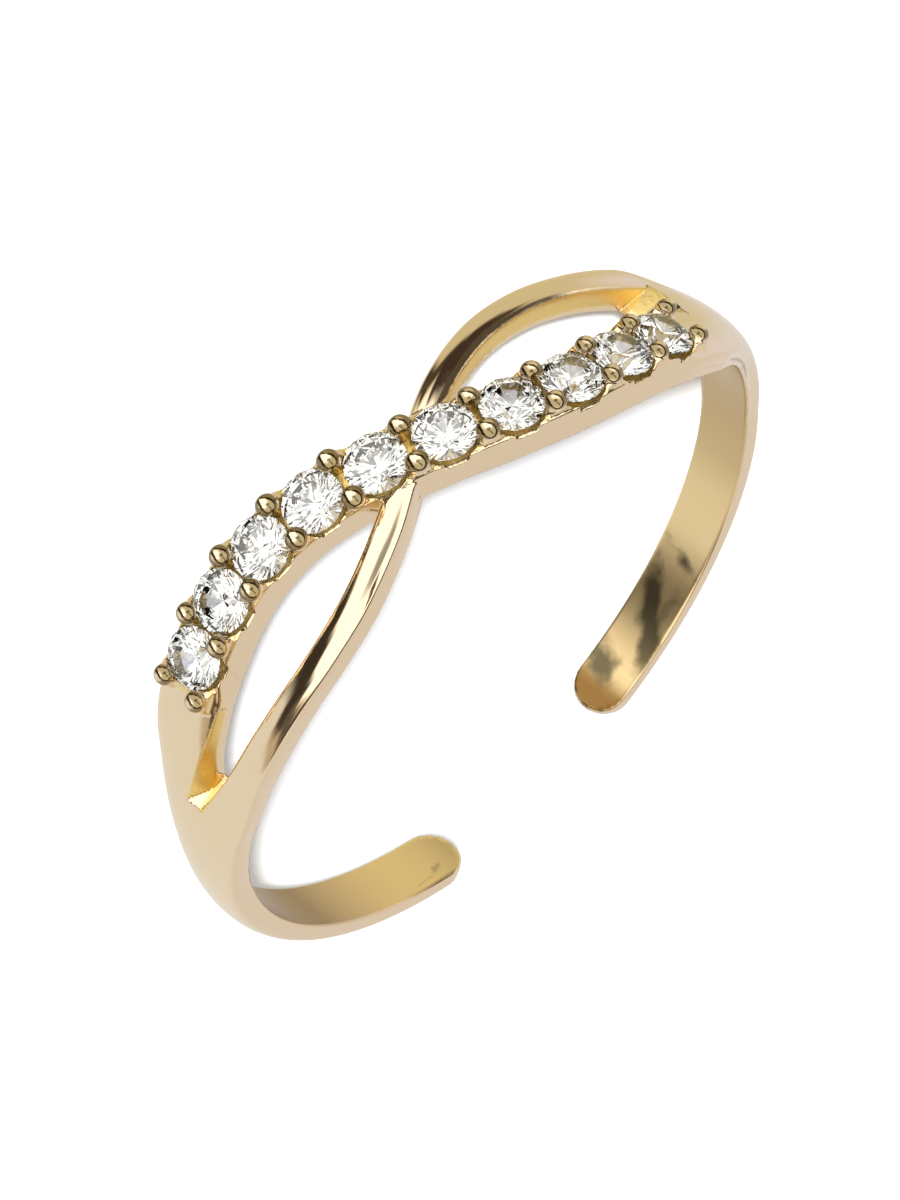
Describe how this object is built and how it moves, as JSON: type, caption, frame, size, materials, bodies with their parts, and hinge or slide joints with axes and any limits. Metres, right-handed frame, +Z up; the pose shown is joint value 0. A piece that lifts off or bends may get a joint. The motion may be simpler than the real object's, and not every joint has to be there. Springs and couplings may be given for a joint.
{
  "type": "toe ring",
  "caption": "Open adjustable toe ring whose band splits at the crown into two crossing strands, one set with a row of round clear stones held by shared beads.",
  "frame": {"origin": "middle of the box's underside, on the surface that the ring lies on", "axes": "+Z up, across the band; +Y from the crown with the stones towards the open back; the ring's own axis leans 5 degrees from +Z, because it lies on the edges of its strands"},
  "size_m": [0.0168, 0.017, 0.0036],
  "materials": {
    "gold": "polished yellow gold",
    "stone": "faceted clear stone"
  },
  "bodies": {
    "root": {"ring_body": "gold", "stone_01": "stone", "stone_02": "stone", "stone_03": "stone", "stone_04": "stone", "stone_05": "stone", "stone_06": "stone", "stone_07": "stone", "stone_08": "stone", "stone_09": "stone", "stone_10": "stone"}
  },
  "joints": []
}
